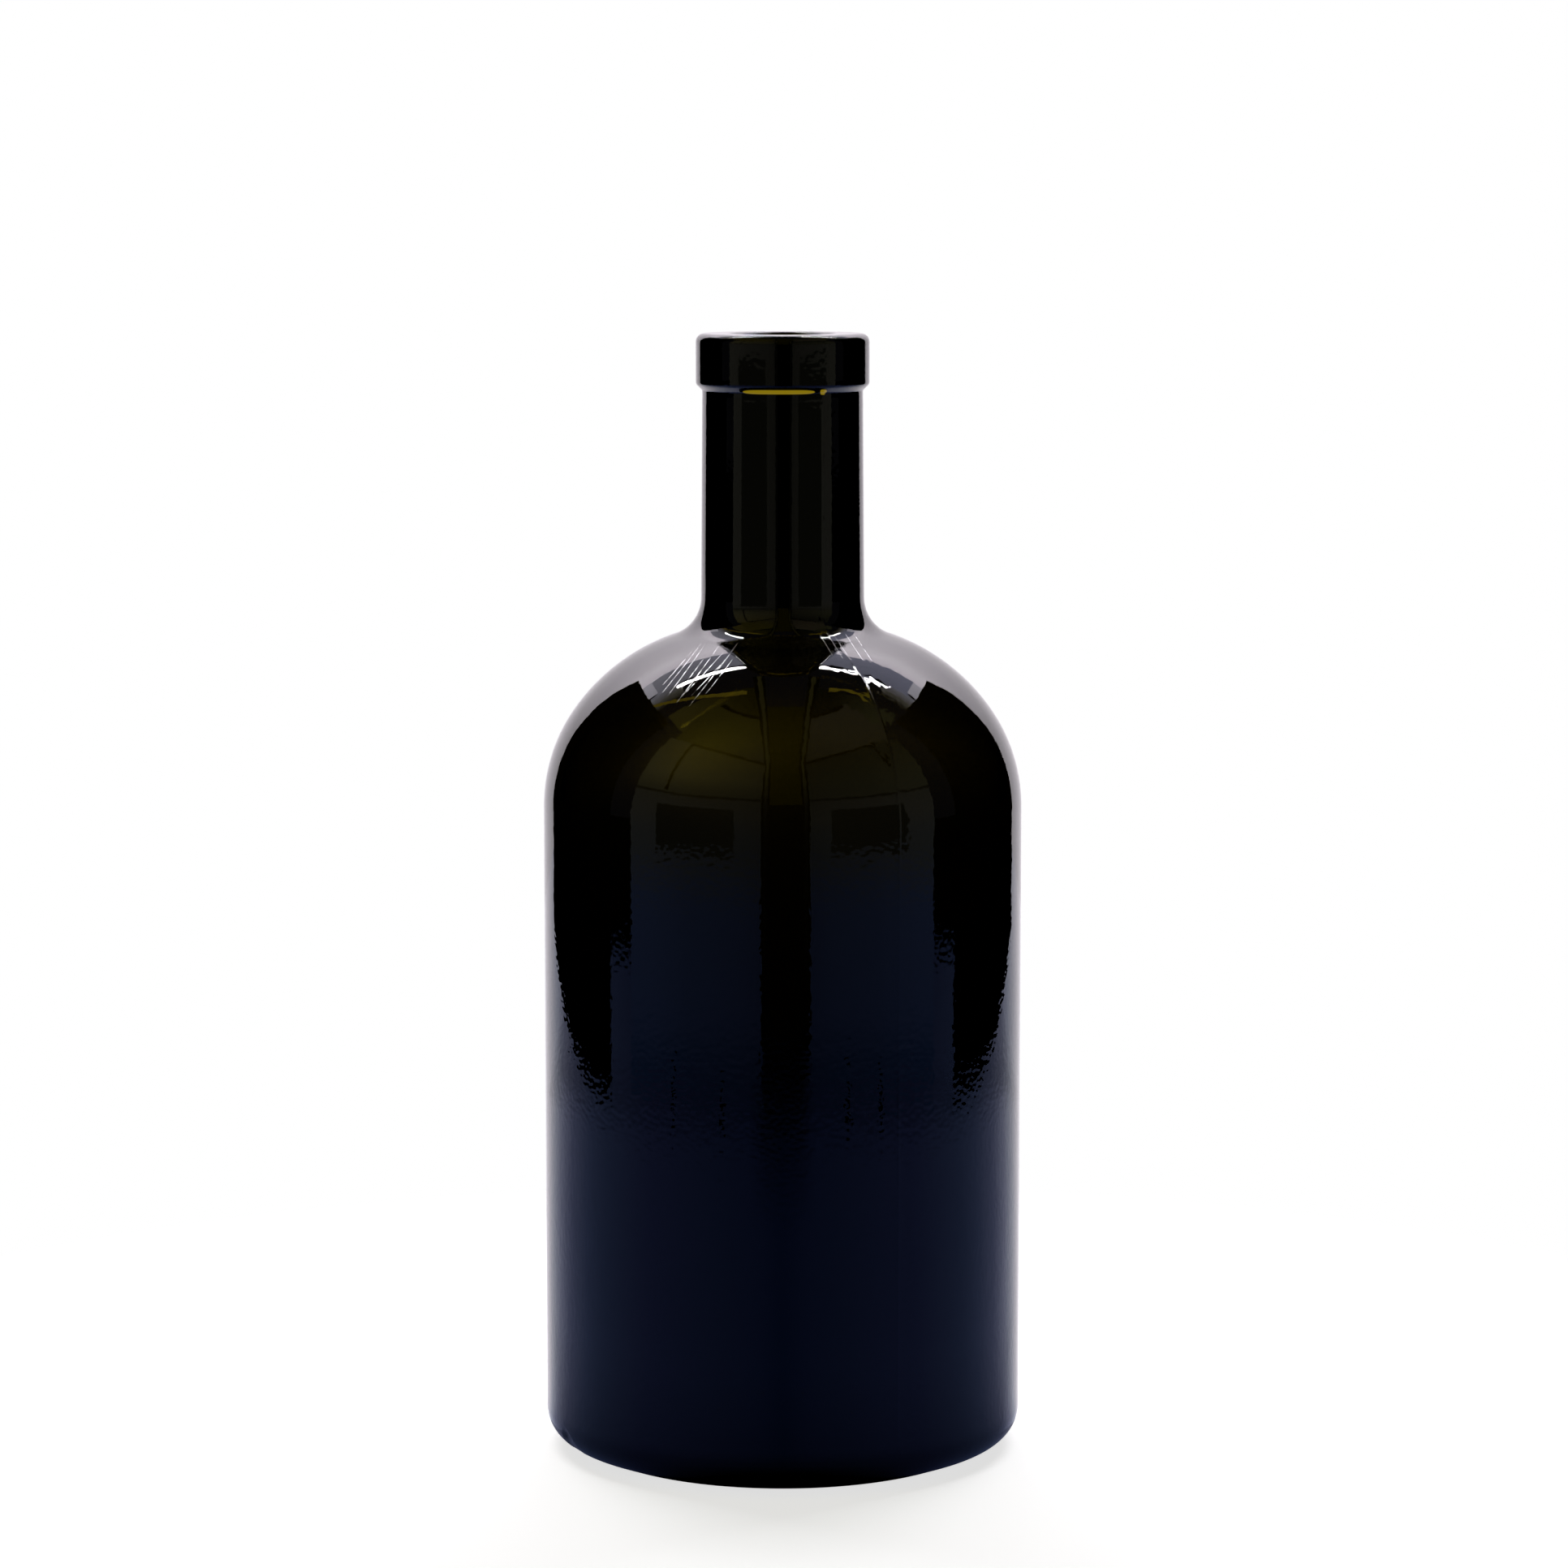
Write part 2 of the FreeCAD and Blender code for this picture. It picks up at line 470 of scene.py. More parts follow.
@dataclass
class Bottle:
    """The blown glass bottle: one closed wall from the push-up over the band and down to the floor.

    Sizes are millimetres and degrees, and bearings run from the front.
    """

    overall_height: float = 212.9
    body_radius: float = 45.5
    bearing_inset: float = 8.3
    bearing_width: float = 2.8
    bearing_edge_radius: float = 2.0
    foot_slope: float = 21.0
    heel_radius: float = 6.1
    push_up_rise: float = 9.0
    push_up_edge_radius: float = 3.0
    neck_root_fillet: float = 7.6
    band_radius: float = 16.42
    band_height: float = 10.9
    band_overhang: float = 1.22
    band_cove_radius: float = 0.5
    band_underside_slope: float = 45.0
    band_lower_edge_radius: float = 1.0
    band_upper_edge_radius: float = 1.6
    neck_length: float = 38.8
    neck_flare: float = 0.28
    heel_wall: float = 5.8
    shoulder_wall: float = 3.4
    floor_thickness: float = 9.5
    heel_thickness: float = 8.0
    inner_heel_fillet: float = 9.0
    bore_radius: float = 9.25
    bore_length: float = 20.0
    bore_flare: float = 0.95
    lip_radius: float = 1.0
    inner_root_fillet: float = 11.5
    seam_bearing: float = SEAM_BEARING
    seam_height: float = 0.05
    seam_width: float = 0.22
    seam_steps: tuple[float, ...] = (0.10, 0.20, 0.32, 0.48)
    seam_gap: float = 3.2
    least_ring: float = 8.0  # a ring smaller than this has no closer columns at the seams
    base_line_height: float = 7.24
    neck_line_height: float = 199.8
    notch_bearing: float = -65.3
    notch_width: float = 5.8
    notch_low: float = 1.0
    notch_top: float = 6.4
    notch_depth: float = 0.5
    notch_edge: float = 0.7
    notch_run_out: Point = (1.4, 3.2)
    wave_depth: float = 0.02
    wave_length: float = 9.0
    wave_flattening: float = 0.45
    relief_radius: float = 30.0  # from here in to the axis the relief fades away
    thinning: float = 1.9
    thin_heights: tuple[Point, Point] = ((121.0, 134.0), (153.0, 138.0))
    thin_bearing: float = -25.0
    thin_spread: float = 20.0
    thin_all_round: float = 0.12
    thin_behind: float = 0.40
    thin_behind_from: Point = (90.0, 150.0)
    body_thickening: float = 0.6
    thick_heights: tuple[Point, Point] = ((20.0, 40.0), (128.0, 114.0))
    broad_streak: float = 0.06
    fine_streak: float = 0.04
    streak_slant: float = 60.0
    streak_start: Point = (10.0, 20.0)
    columns: int = 236
    crowding: float = 0.6  # nought spreads the columns evenly
    finish: GlassFinish = GlassFinish()

    def _dome(self, rim_radius: float, rise: float, fillet: float) -> tuple[float, float]:
        """Return the radius and half angle of a dome that ends tangent to a fillet at its rim."""
        dome_radius = (rim_radius**2 + rise**2 - 2 * fillet * rise) / (2 * rise)
        return dome_radius, math.degrees(math.asin(rim_radius / (dome_radius + fillet)))

    def _outer_shoulder(self) -> Shoulder:
        """Return the shoulder's curve on the outer surface."""
        neck_radius = self.band_radius - self.band_overhang + self.neck_flare
        return Shoulder(self.body_radius, neck_radius, self.neck_root_fillet)

    def _shoulder_start(self) -> float:
        """Return the height at which the straight body ends."""
        return self.overall_height - self.band_height - self.neck_length - self._outer_shoulder().rise

    def _draw_foot(self, outline: Outline) -> None:
        """Draw the push-up, the bearing ring, the sloping foot and the heel.

        Args:
            outline: The outline to carry on.
        """
        bearing_inner = self.body_radius - self.bearing_inset - self.bearing_width
        dome_radius, dome_angle = self._dome(bearing_inner, self.push_up_rise, self.push_up_edge_radius)
        outline.arc(dome_radius, -dome_angle, step=2.5)
        outline.arc(self.push_up_edge_radius, dome_angle)
        outline.line(self.bearing_width)
        outline.arc(self.bearing_edge_radius, self.foot_slope)
        heel_out = self.heel_radius * (1 - math.sin(math.radians(self.foot_slope)))
        slope_out = self.body_radius - heel_out - outline.radius
        outline.line(slope_out / math.cos(math.radians(self.foot_slope)), step=1.0)
        outline.arc(self.heel_radius, 90.0 - self.foot_slope, step=0.42)

    def _draw_finish(self, outline: Outline) -> None:
        """Draw the band, its sealing land and the lip of the bore.

        Args:
            outline: The outline to carry on.
        """
        turn = 90.0 - self.band_underside_slope
        outline.arc(self.band_cove_radius, -turn, step=0.2)
        edge_out = self.band_lower_edge_radius * (1 - math.cos(math.radians(turn)))
        underside_out = self.band_radius - edge_out - outline.radius
        outline.line(underside_out / math.cos(math.radians(self.band_underside_slope)), step=0.3)
        outline.arc(self.band_lower_edge_radius, turn, step=0.2)
        outline.line_to(self.band_radius, self.overall_height - self.band_upper_edge_radius, step=0.8)
        outline.arc(self.band_upper_edge_radius, 90.0, step=0.25)
        outline.line_to(self.bore_radius + self.lip_radius, self.overall_height, step=0.9)
        outline.arc(self.lip_radius, 90.0, step=0.25)

    def outside(self) -> list[Point]:
        """Draw the outer surface.

        Returns:
            Its points, from the push-up's middle to the lip of the bore.
        """
        outline = Outline(0.0, self.push_up_rise, Heading.OUTWARDS.value)
        self._draw_foot(outline)
        outline.line_to(self.body_radius, self._shoulder_start(), step=1.7)
        self._outer_shoulder().draw_up(outline)
        neck_top = self.overall_height - self.band_height
        outline.line_to(self.band_radius - self.band_overhang, neck_top, step=1.2)
        self._draw_finish(outline)
        return outline.points

    def inside(self) -> list[Point]:
        """Draw the inner surface.

        Returns:
            Its points, from the lip of the bore to the floor's middle.
        """
        neck_radius = self.bore_radius + self.bore_flare
        shoulder = Shoulder(self.body_radius, neck_radius, self.inner_root_fillet, depth=self.shoulder_wall)
        outline = Outline(self.bore_radius, self.overall_height - self.lip_radius, Heading.DOWNWARDS.value)
        outline.line(self.bore_length, step=2.5)
        outline.line_to(neck_radius, self._shoulder_start() + shoulder.rise, step=2.5)
        shoulder.draw_down(outline)
        body = self.body_radius - self.heel_wall
        outline.line_to(body, self.heel_thickness + self.inner_heel_fillet, step=4.0)
        rim = body - self.inner_heel_fillet
        rise = self.push_up_rise + self.floor_thickness - self.heel_thickness
        dome_radius, dome_angle = self._dome(rim, rise, self.inner_heel_fillet)
        outline.arc(self.inner_heel_fillet, -90.0 - dome_angle, step=1.8)
        outline.arc(dome_radius, dome_angle, step=3.0)
        return outline.points[1:]

    def _notch(self, radius: float, height: float, bearing: float) -> float:
        """Work out the locating notch that is moulded into the heel.

        Args:
            radius: The plain radius.
            height: The height above the table.
            bearing: The angle round the axis from the front, in radians.

        Returns:
            The notch's depth in millimetres.
        """
        off = math.remainder(bearing - math.radians(self.notch_bearing), 2 * math.pi)
        across = radius * off / (0.5 * self.notch_width)
        arch = math.sqrt(max(0.0, 1.0 - across**2))
        top = self.notch_low + (self.notch_top - self.notch_low) * arch
        below_edge = smooth(height, top, top - self.notch_edge)
        return self.notch_depth * arch**0.5 * below_edge * smooth(height, *self.notch_run_out)

    def _relief(self, radius: float, height: float, bearing: float) -> float:
        """Work out how far the outer surface lies from its plain turned shape.

        Args:
            radius: The plain radius.
            height: The height above the table.
            bearing: The angle round the axis from the front, in radians.

        Returns:
            The change of radius in millimetres, never above nought.
        """
        spot = Vector((radius * math.sin(bearing), radius * math.cos(bearing), height * self.wave_flattening))
        wave = self.wave_depth * (noise.noise(spot / self.wave_length) - 1.0)
        ridge = 0.0
        if self.base_line_height < height < self.neck_line_height:
            across = radius * math.sin(bearing - math.radians(self.seam_bearing))
            ridge = self.seam_height * math.exp(-((across / self.seam_width) ** 2))
        for level in (self.base_line_height, self.neck_line_height):
            ridge = max(ridge, self.seam_height * math.exp(-(((height - level) / self.seam_width) ** 2)))
        return wave - self.seam_height + ridge - self._notch(radius, height, bearing)

    def _wall_change(self, height: float, bearing: float) -> float:
        """Work out how much nearer the outside the inner surface lies than its plain shape.

        Args:
            height: The height above the table.
            bearing: The angle round the axis from the front, in radians.

        Returns:
            The thinning in millimetres, below nought where the glass is thicker.
        """
        thin_low, thin_high = self.thin_heights
        belt = smooth(height, *thin_low) * smooth(height, *thin_high)
        off_thin = (math.degrees(bearing) - self.thin_bearing + 180.0) % 360.0 - 180.0
        uneven = self.thin_all_round + math.exp(-((off_thin / self.thin_spread) ** 2))
        uneven += self.thin_behind * smooth(abs(off_thin), *self.thin_behind_from)
        thick_low, thick_high = self.thick_heights
        thick = self.body_thickening * smooth(height, *thick_high) * smooth(height, *thick_low)
        streak = self.broad_streak * math.sin(3 * bearing + 0.6)
        streak += self.fine_streak * math.sin(7 * bearing + height / self.streak_slant)
        off_floor = smooth(height - self.heel_thickness, *self.streak_start)
        return self.thinning * belt * uneven - thick + streak * off_floor

    def _bearings(self, radius: float) -> list[float]:
        """Work out the angles of one ring's points, drawn together at the seams and halfway between them.

        Args:
            radius: The ring's radius in millimetres.

        Returns:
            Angles from the front in radians, rising from the first seam.
        """
        seam = math.radians(self.seam_bearing)
        gap = math.radians(self.seam_gap)
        steps = [width / max(radius, self.least_ring) for width in self.seam_steps]
        half = [0.0, *steps, gap]
        plain = self.columns // 2 - 2 * len(half) + 1
        span = math.pi - 2 * gap
        for index in range(plain):
            share = (index + 1) / (plain + 1)
            share -= self.crowding * math.sin(4 * math.pi * share) / (4 * math.pi)
            half.append(gap + span * share)
        half += [math.pi - gap, *[math.pi - step for step in reversed(steps)]]
        return [seam + turn for turn in half] + [seam + math.pi + turn for turn in half]

    def _faces(self, rings: int, count: int) -> list[tuple[int, ...]]:
        """Join the rings' points to each other and to one point on the axis at each end.

        Args:
            rings: How many rings there are.
            count: How many points a ring has.

        Returns:
            The faces, which look out of the glass.
        """
        faces = [(0, 1 + (i + 1) % count, 1 + i) for i in range(count)]
        top = 1 + (rings - 1) * count
        for low in range(1, top, count):
            for i in range(count):
                j = (i + 1) % count
                faces.append((low + i, low + j, low + count + j, low + count + i))
        return faces + [(top + i, top + (i + 1) % count, top + count) for i in range(count)]

    def mesh(self) -> bpy.types.Mesh:
        """Turn the wall's outline about the axis.

        Returns:
            A closed mesh in metres.
        """
        outer, inner = self.outside(), self.inside()
        wall = outer[1:] + inner[:-1]
        vertices = [(0.0, 0.0, outer[0][1] * MM)]
        for number, (radius, height) in enumerate(wall, start=1):
            for bearing in self._bearings(radius):
                if number < len(outer):
                    share = min(1.0, radius / self.relief_radius)
                    out = radius + self._relief(radius, height, bearing) * share
                else:
                    out = radius + self._wall_change(height, bearing)
                vertices.append((out * math.sin(bearing) * MM, -out * math.cos(bearing) * MM, height * MM))
        count = (len(vertices) - 1) // len(wall)
        vertices.append((0.0, 0.0, inner[-1][1] * MM))
        made = bpy.data.meshes.new("bottle_glass")
        made.from_pydata(vertices, [], self._faces(len(wall), count))
        made.validate()
        made.shade_smooth()
        return made

    def build(self) -> bpy.types.Object:
        """Build the bottle, dress it and set it on the frame.

        Returns:
            The bottle's object.
        """
        piece = new_object("bottle_glass", self.mesh())
        piece.data.materials.append(self.finish.material())
        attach(piece, "root")
        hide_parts("glass_bottle")
        return piece


@dataclass(frozen=True)
class ScuffFinish:
    """Fine bright scuffs where the glass has been handled."""

    name: str = "scuffed_glass"
    tone: float = 0.85
    roughness: float = 0.28
    cover: float = 0.6
    speck_scale: float = 900.0
    speck_edges: Point = (0.32, 0.60)

    def material(self) -> bpy.types.Material:
        """Build the scuffs' material.

        Returns:
            A bright finish, broken into specks along each scuff.
        """
        made, nodes = new_material(self.name)
        place = nodes.add("ShaderNodeTexCoord").outputs["Object"]
        specks = nodes.add("ShaderNodeTexNoise", Vector=place, Scale=self.speck_scale, Detail=2.0)
        broken = nodes.span(specks.outputs["Fac"], *self.speck_edges)
        alpha = nodes.math("MULTIPLY", broken, self.cover)
        shader = nodes.add("ShaderNodeBsdfPrincipled", Roughness=self.roughness, Alpha=alpha)
        shader.inputs["Base Color"].default_value = grey(self.tone)
        shader.inputs["Metallic"].default_value = 1.0
        nodes.surface(shader)
        return made


@dataclass
class Scuffs:
    """Hairline scuffs that lie on the shoulder in slanting sheaves.

    Each sheaf has a bearing, a height, a length, a slant and a number of scuffs, in millimetres and degrees.
    """

    outline: list[Point]
    lowest: float = 20.0
    sheaves: tuple[tuple[float, float, float, float, int], ...] = (
        (-30.5, 151.2, 15.0, 42.0, 9),
        (31.0, 155.5, 8.0, -36.0, 5),
    )
    spread: float = 9.0
    stray: float = 0.5
    fall: float = 0.12
    shortest: float = 0.45
    swing: float = 4.0
    width: float = 0.13
    lift: float = 0.03
    steps: int = 12
    seed: int = 7
    finish: ScuffFinish = ScuffFinish()

    def _radius(self, height: float) -> float:
        """Find where a scuff lies in the outer surface at a height.

        Args:
            height: The height above the table, clear of the foot.

        Returns:
            The radius in millimetres.
        """
        for low, high in zip(self.outline, self.outline[1:]):
            if low[1] <= height < high[1] and height > self.lowest:
                share = (height - low[1]) / (high[1] - low[1])
                return low[0] + (high[0] - low[0]) * share - self.lift
        return self.outline[-1][0]

    def _strip(self, middle: Point, length: float, slant: float) -> list[tuple[Point, float]]:
        """Draw one scuff as seen from the front.

        Args:
            middle: The scuff's middle, as distance to the right and height.
            length: Its length.
            slant: Its lean from the upright in degrees, to the right if positive.

        Returns:
            Points along the scuff, each with the scuff's half width there.
        """
        lean = math.radians(slant)
        points = []
        for index in range(self.steps + 1):
            along = index / self.steps - 0.5
            spot = (middle[0] + along * length * math.sin(lean), middle[1] + along * length * math.cos(lean))
            points.append((spot, 0.5 * self.width * math.sqrt(max(0.0, 1 - (2 * along) ** 2))))
        return points

    def build(self) -> bpy.types.Object:
        """Lay every scuff on the glass as a thin tapering strip.

        Returns:
            The scuffs' object.
        """
        draw = random.Random(self.seed)
        vertices, faces = [], []
        for bearing, height, length, slant, count in self.sheaves:
            for number in range(count):
                side = self.spread * ((number + 0.5) / count - 0.5) + draw.uniform(-self.stray, self.stray)
                middle = self._radius(height) * math.sin(math.radians(bearing))
                size = length * draw.uniform(self.shortest, 1.0)
                lean = slant + draw.uniform(-self.swing, self.swing)
                first = len(vertices)
                for (across, up), half in self._strip((middle + side, height - self.fall * side), size, lean):
                    radius = self._radius(up)
                    for x in (across - half, across + half):
                        vertices.append((x * MM, -math.sqrt(radius**2 - x**2) * MM, up * MM))
                faces += [(i, i + 1, i + 3, i + 2) for i in range(first, len(vertices) - 2, 2)]
        made = bpy.data.meshes.new("shoulder_scuffs")
        made.from_pydata(vertices, [], faces)
        made.shade_smooth()
        made.materials.append(self.finish.material())
        piece = new_object("shoulder_scuffs", made)
        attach(piece, "root")
        return piece


# ---------------------------------------------------------------- cards and their glow


@dataclass(frozen=True)
class GlowFinish:
    """A card that shines a colour which may change over its own width and height."""

    name: str
    stops: Stops
    axis: str = "Z"
    start: float = 0.0
    end: float = 1.0
    side_stops: Stops = ()

    def material(self) -> bpy.types.Material:
        """Build the card's material.

        Returns:
            An emission material whose colour follows one axis of the card.
        """
        made, nodes = new_material(self.name)
        place = nodes.add("ShaderNodeTexCoord").outputs["Object"]
        split = nodes.add("ShaderNodeSeparateXYZ", Vector=place)
        colour = nodes.ramp(nodes.span(split.outputs[self.axis], self.start, self.end), self.stops)
        strength: object = 1.0
        if self.side_stops:
            strength = nodes.ramp(nodes.math("ABSOLUTE", split.outputs["X"]), self.side_stops)
        nodes.surface(nodes.add("ShaderNodeEmission", Color=colour, Strength=strength))
        return made


def ring(radius: float, height: float) -> Edge:
    """Make a level edge bent round the axis.

    Args:
        radius: Its distance from the axis.
        height: Its height above the table.

    Returns:
        The edge, by bearing from the front in degrees.
    """

    def edge(bearing: float) -> Spot:
        """Return the edge's point at a bearing."""
        turn = math.radians(bearing)
        return radius * math.sin(turn), -radius * math.cos(turn), height

    return edge


@dataclass
class Card:
    """A studio card that only reflections and clear glass see."""

    name: str
    corners: list[Spot]
    finish: GlowFinish

    @classmethod
    def flat(cls, name: str, finish: GlowFinish, x: Point, y: Point, z: Point) -> "Card":
        """Return a flat card between two corners; one of the three spans is nought.

        Args:
            name: The card's name.
            finish: Its finish.
            x: Where it starts and ends from left to right.
            y: Where it starts and ends from front to back.
            z: Where it starts and ends from the table up.

        Returns:
            The card.
        """
        if z[0] == z[1]:
            corners = [(x[0], y[0], z[0]), (x[0], y[1], z[0]), (x[1], y[0], z[0]), (x[1], y[1], z[0])]
        else:
            corners = [(x[0], y[0], z[0]), (x[0], y[0], z[1]), (x[1], y[1], z[0]), (x[1], y[1], z[1])]
        return cls(name, corners, finish)

    @classmethod
    def curved(cls, name: str, finish: GlowFinish, radius: float, bearings: Point, z: Point) -> "Card":
        """Return an upright card bent round the bottle.

        Args:
            name: The card's name.
            finish: Its finish.
            radius: Its distance from the bottle's axis.
            bearings: Where it starts and ends, in degrees from the front.
            z: Where it starts and ends from the table up.

        Returns:
            The card, as pairs of low and high corners.
        """
        return cls.bent(name, finish, bearings, ring(radius, z[0]), ring(radius, z[1]))

    @classmethod
    def bent(cls, name: str, finish: GlowFinish, span: Point, low: Edge, high: Edge, step: float = 3.0) -> "Card":
        """Return a card stretched between two edges.

        Args:
            name: The card's name.
            finish: Its finish.
            span: Where the edges start and end.
            low: The lower edge.
            high: The upper edge.
            step: The greatest stretch between two corners of an edge.

        Returns:
            The card, as pairs of low and high corners.
        """
        count = max(1, math.ceil(abs(span[1] - span[0]) / step))
        corners = []
        for index in range(count + 1):
            along = span[0] + (span[1] - span[0]) * index / count
            corners += [low(along), high(along)]
        return cls(name, corners, finish)

    @classmethod
    def band(cls, name: str, finish: GlowFinish, x: Point, path: tuple[Point, ...]) -> "Card":
        """Return a card of even width that follows a path from front to back.

        Args:
            name: The card's name.
            finish: Its finish.
            x: Its two sides.
            path: The path's corners, as distances back and heights.

        Returns:
            The card.
        """
        return cls(name, [(side, y, z) for y, z in path for side in x], finish)

    def build(self) -> bpy.types.Object:
        """Build the card and keep it out of the picture.

        Returns:
            The card's object.
        """
        faces = [(i, i + 2, i + 3, i + 1) for i in range(0, len(self.corners) - 2, 2)]
        made = bpy.data.meshes.new(self.name)
        made.from_pydata(self.corners, [], faces)
        made.materials.append(self.finish.material())
        card = new_object(self.name, made)
        card.visible_camera = False
        return card


# ---------------------------------------------------------------- finishes of the cards

SWEEP_WHITE = GlowFinish(
    "sweep_white",
    (
        (0.0, (0.95, 0.90, 0.96, 1.0)),
        (0.30, (1.0, 0.94, 1.0, 1.0)),
        (0.45, (1.38, 1.29, 1.40, 1.0)),
        (0.57, (1.90, 1.78, 1.92, 1.0)),
        (0.65, (2.35, 2.18, 2.36, 1.0)),
        (0.74, (3.0, 2.8, 3.02, 1.0)),
        (0.82, (3.6, 3.35, 3.62, 1.0)),
        (0.90, (3.8, 3.5, 3.82, 1.0)),
    ),
)
PANEL_SLATE = GlowFinish("panel_slate", ((0.0, (1.2, 1.18, 1.38, 1.0)), (1.0, (0.97, 0.98, 1.32, 1.0))), "X", -0.5, 0.5)
PANEL_EDGE = GlowFinish("panel_edge", ((0.0, (2.5, 2.4, 2.7, 1.0)),), "X")
FLAG_BLACK = GlowFinish("flag_black", ((0.0, grey(0.0)),))
CLOTH_FOOT = (
    (0.0, (0.02, 0.05, 0.14, 1.0)),
    (0.02, (0.055, 0.085, 0.21, 1.0)),
    (0.050, (0.06, 0.09, 0.20, 1.0)),
    (0.064, (0.09, 0.10, 0.10, 1.0)),
    (0.15, (0.11, 0.11, 0.09, 1.0)),
    (0.24, (0.10, 0.10, 0.075, 1.0)),
    (0.244, (0.03, 0.03, 0.02, 1.0)),
    (0.250, (0.03, 0.03, 0.02, 1.0)),
    (0.254, (0.10, 0.10, 0.06, 1.0)),
)
CLOTH_SIDES = ((0.08, grey(0.7)), (0.17, grey(0.85)), (0.31, grey(1.0)), (0.40, grey(1.25)))
CLOTHS = {
    Side.LEFT: GlowFinish(
        "cloth_left",
        (*CLOTH_FOOT, (0.34, (0.17, 0.16, 0.08, 1.0)), (0.50, (0.17, 0.15, 0.06, 1.0))),
        side_stops=CLOTH_SIDES,
    ),
    Side.RIGHT: GlowFinish(
        "cloth_right",
        (*CLOTH_FOOT, (0.34, (0.09, 0.09, 0.05, 1.0)), (0.50, (0.05, 0.05, 0.03, 1.0))),
        side_stops=CLOTH_SIDES,
    ),
}
CLOTH_WINDOW = GlowFinish("cloth_window", ((0.0, (0.035, 0.036, 0.025, 1.0)),))
ROOFS = {
    Side.LEFT: GlowFinish(
        "roof_left", ((0.0, (0.10, 0.09, 0.05, 1.0)), (1.0, (0.15, 0.13, 0.02, 1.0))), start=0.50, end=0.60
    ),
    Side.RIGHT: GlowFinish(
        "roof_right", ((0.0, (0.07, 0.065, 0.04, 1.0)), (1.0, (0.14, 0.12, 0.07, 1.0))), start=0.50, end=0.60
    ),
}
CEILINGS = {
    Side.LEFT: GlowFinish(
        "ceiling_left", ((0.09, (0.06, 0.052, 0.004, 1.0)), (0.33, (0.20, 0.17, 0.04, 1.0))), "X", 0.0, -1.0
    ),
    Side.RIGHT: GlowFinish("ceiling_right", ((0.15, (0.02, 0.02, 0.008, 1.0)), (0.33, (0.13, 0.13, 0.06, 1.0))), "X"),
}
LAMP_SPILL = GlowFinish(
    "lamp_spill",
    ((0.0, (0.04, 0.035, 0.01, 1.0)), (0.45, (0.45, 0.42, 0.33, 1.0)), (1.0, (1.05, 1.02, 1.18, 1.0))),
    "Y",
    0.20,
    0.40,
)
WARM_STRIP = GlowFinish("warm_strip", ((0.0, (0.62, 0.46, 0.04, 1.0)),))
SLIT_OLIVE = GlowFinish("slit_olive", ((0.0, (0.05, 0.042, 0.0, 1.0)),))
HEM_LIGHT = GlowFinish(
    "hem_light", ((0.0, grey(0.0)), (0.22, (0.02, 0.02, 0.015, 1.0)), (0.42, (0.12, 0.11, 0.035, 1.0)))
)

# Places that cards on the middle line share with the cards beside them, in metres
ROOM_TOP = 1.00
ROOM_BACK = 0.70
SLIT_MIDDLE = 0.010


# ---------------------------------------------------------------- table


